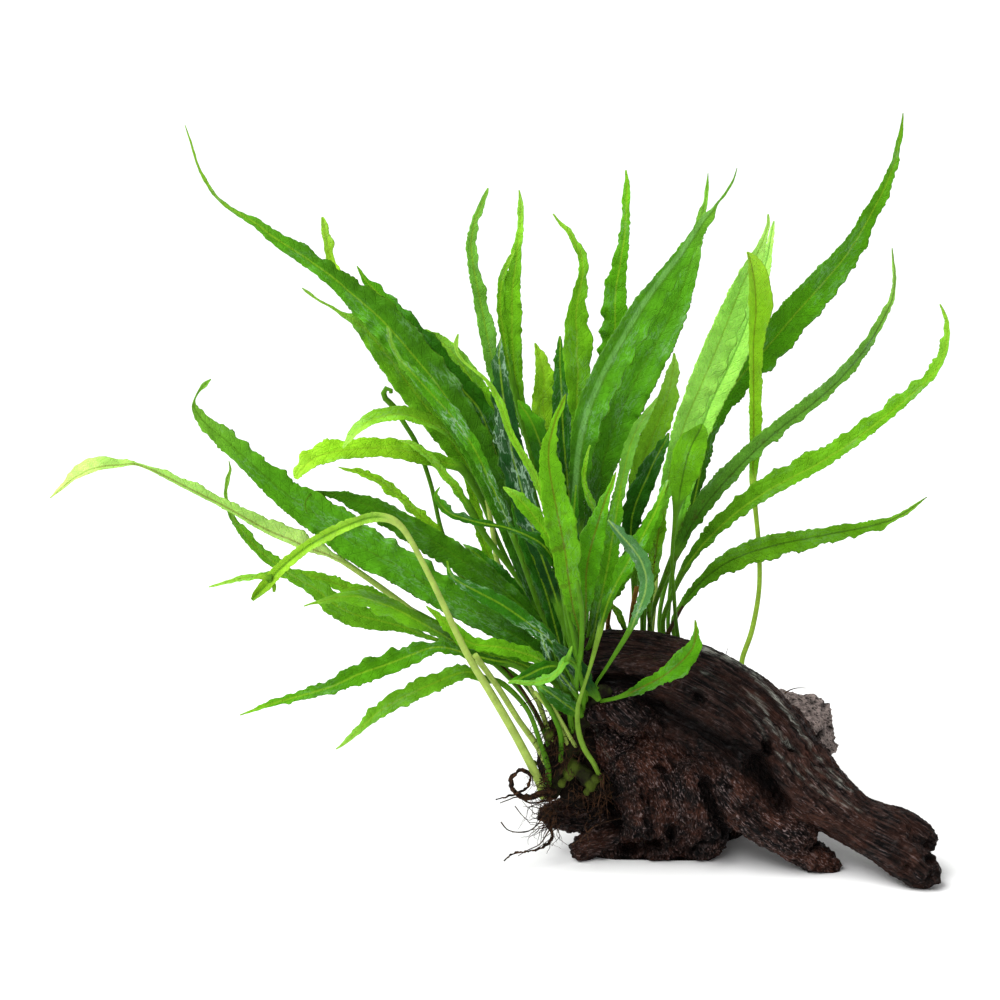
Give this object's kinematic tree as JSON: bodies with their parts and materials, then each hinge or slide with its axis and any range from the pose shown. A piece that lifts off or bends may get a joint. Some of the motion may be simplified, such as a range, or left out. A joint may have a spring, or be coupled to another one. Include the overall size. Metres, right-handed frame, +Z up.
{
  "type": "java fern on driftwood",
  "caption": "Aquarium fern whose long, narrow, wavy leaves fan out from creeping rhizomes rooted on the end of a dark gnarled driftwood log, which lies flat and holds the plant down.",
  "frame": {"origin": "on the flat underside of the driftwood's main mass, where it rests", "axes": "+Z up, +X from the leaves' side towards the free end of the driftwood's long limb, -Y towards the front of the plant, metres"},
  "size_m": [0.3044, 0.1865, 0.2569],
  "materials": {
    "leaf_pale": "leathery, satin where dry and glossy where wet",
    "leaf_bright": "leathery, satin where dry and glossy where wet",
    "leaf_mid": "leathery, satin where dry and glossy where wet",
    "leaf_dark": "leathery, satin where dry and glossy where wet",
    "leaf_wet": "leathery, satin where dry and glossy where wet",
    "rhizome": "fleshy green, satin",
    "root": "wiry brown, matt",
    "wood": "weathered, nearly black, slightly damp"
  },
  "bodies": {
    "root": {"driftwood_body": "wood", "driftwood_back_knot": "wood", "driftwood_left_spur": "wood", "driftwood_long_limb": "wood", "driftwood_short_prong": "wood", "rhizome_left": "rhizome", "rhizome_middle": "rhizome", "rhizome_back": "rhizome", "roots_upper": "root", "roots_lower": "root", "leaf_left_01": "leaf_pale", "leaf_left_02": "leaf_mid", "leaf_left_03": "leaf_pale", "leaf_left_04": "leaf_mid", "leaf_left_05": "leaf_mid", "leaf_left_06": "leaf_mid", "leaf_left_07": "leaf_bright", "leaf_left_08": "leaf_dark", "leaf_left_09": "leaf_mid", "leaf_left_10": "leaf_bright", "leaf_left_11": "leaf_mid", "leaf_left_12": "leaf_bright", "leaf_left_13": "leaf_dark", "leaf_high_01": "leaf_dark", "leaf_high_02": "leaf_dark", "leaf_high_03": "leaf_bright", "leaf_high_04": "leaf_bright", "leaf_high_05": "leaf_bright", "leaf_high_06": "leaf_bright", "leaf_high_07": "leaf_bright", "leaf_high_08": "leaf_bright", "leaf_high_09": "leaf_pale", "leaf_centre_01": "leaf_bright", "leaf_centre_02": "leaf_bright", "leaf_centre_03": "leaf_wet", "leaf_centre_04": "leaf_bright", "leaf_centre_05": "leaf_mid", "leaf_centre_06": "leaf_bright", "leaf_centre_07": "leaf_wet", "leaf_centre_08": "leaf_dark", "leaf_centre_09": "leaf_bright", "leaf_centre_10": "leaf_mid", "leaf_centre_11": "leaf_bright", "leaf_centre_12": "leaf_dark", "leaf_centre_13": "leaf_dark", "leaf_centre_14": "leaf_dark", "leaf_centre_15": "leaf_bright", "leaf_centre_16": "leaf_bright", "leaf_right_01": "leaf_mid", "leaf_right_02": "leaf_pale", "leaf_right_03": "leaf_dark", "leaf_right_04": "leaf_mid", "leaf_right_05": "leaf_bright", "leaf_right_06": "leaf_pale", "leaf_right_07": "leaf_pale", "leaf_right_08": "leaf_pale", "leaf_right_09": "leaf_dark", "leaf_right_10": "leaf_dark", "leaf_right_11": "leaf_mid", "leaf_right_12": "leaf_mid"}
  },
  "joints": []
}
